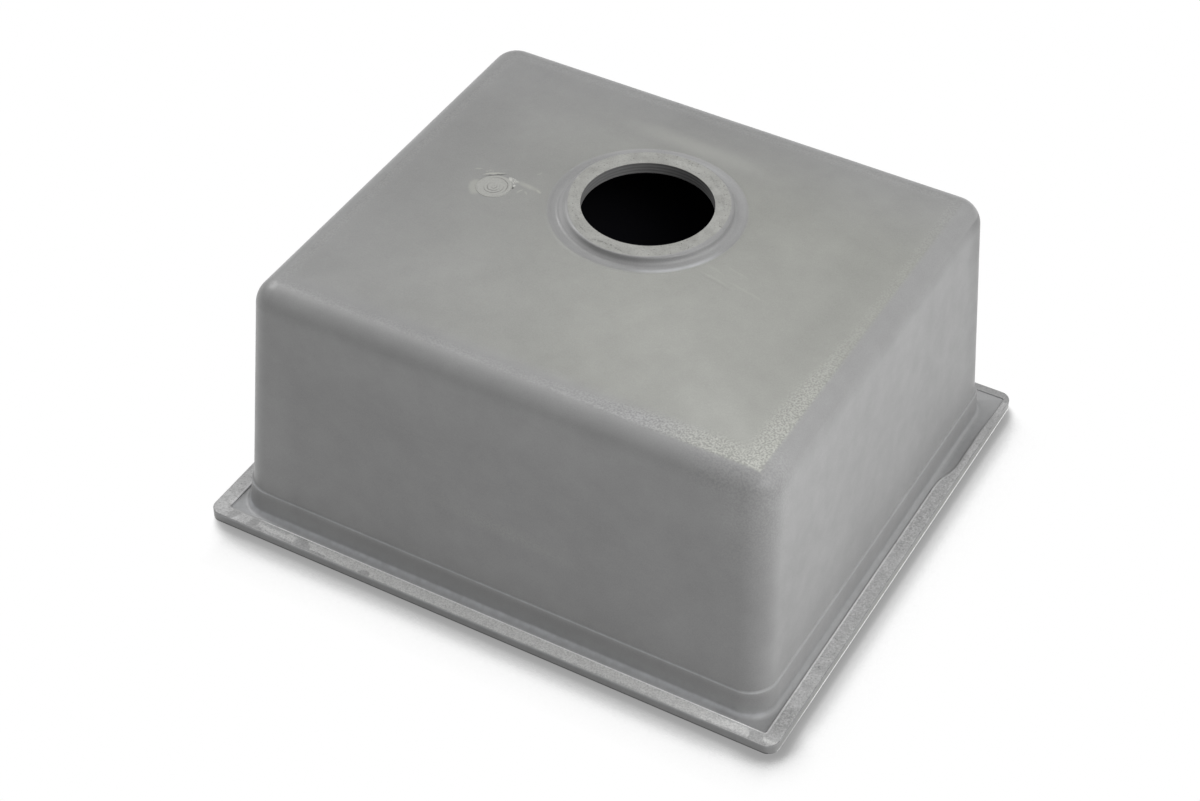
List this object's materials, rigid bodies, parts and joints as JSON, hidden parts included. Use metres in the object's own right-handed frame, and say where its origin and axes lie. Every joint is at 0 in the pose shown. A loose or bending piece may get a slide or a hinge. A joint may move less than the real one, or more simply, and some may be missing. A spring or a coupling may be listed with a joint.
{
  "type": "single bowl kitchen sink",
  "caption": "Moulded composite kitchen sink bowl with a flat flange rim and a raised drain ring, upside down on its rim.",
  "frame": {"origin": "centre of the rim's outline on the deck face of the rim, the face that lies on the floor", "axes": "+Z runs from the deck face up to the underside and the drain ring, so the sink is upside down here and is turned over to be fitted; X is along the long side; +Y points to the long side that the drain is nearer to"},
  "size_m": [0.457, 0.406, 0.2187],
  "materials": {
    "composite": "mid grey mineral composite, satin as cast with a fine pebbled skin, ground matt on the rim's border and on the drain ring"
  },
  "bodies": {
    "root": {"sink_bowl": "composite"}
  },
  "joints": []
}
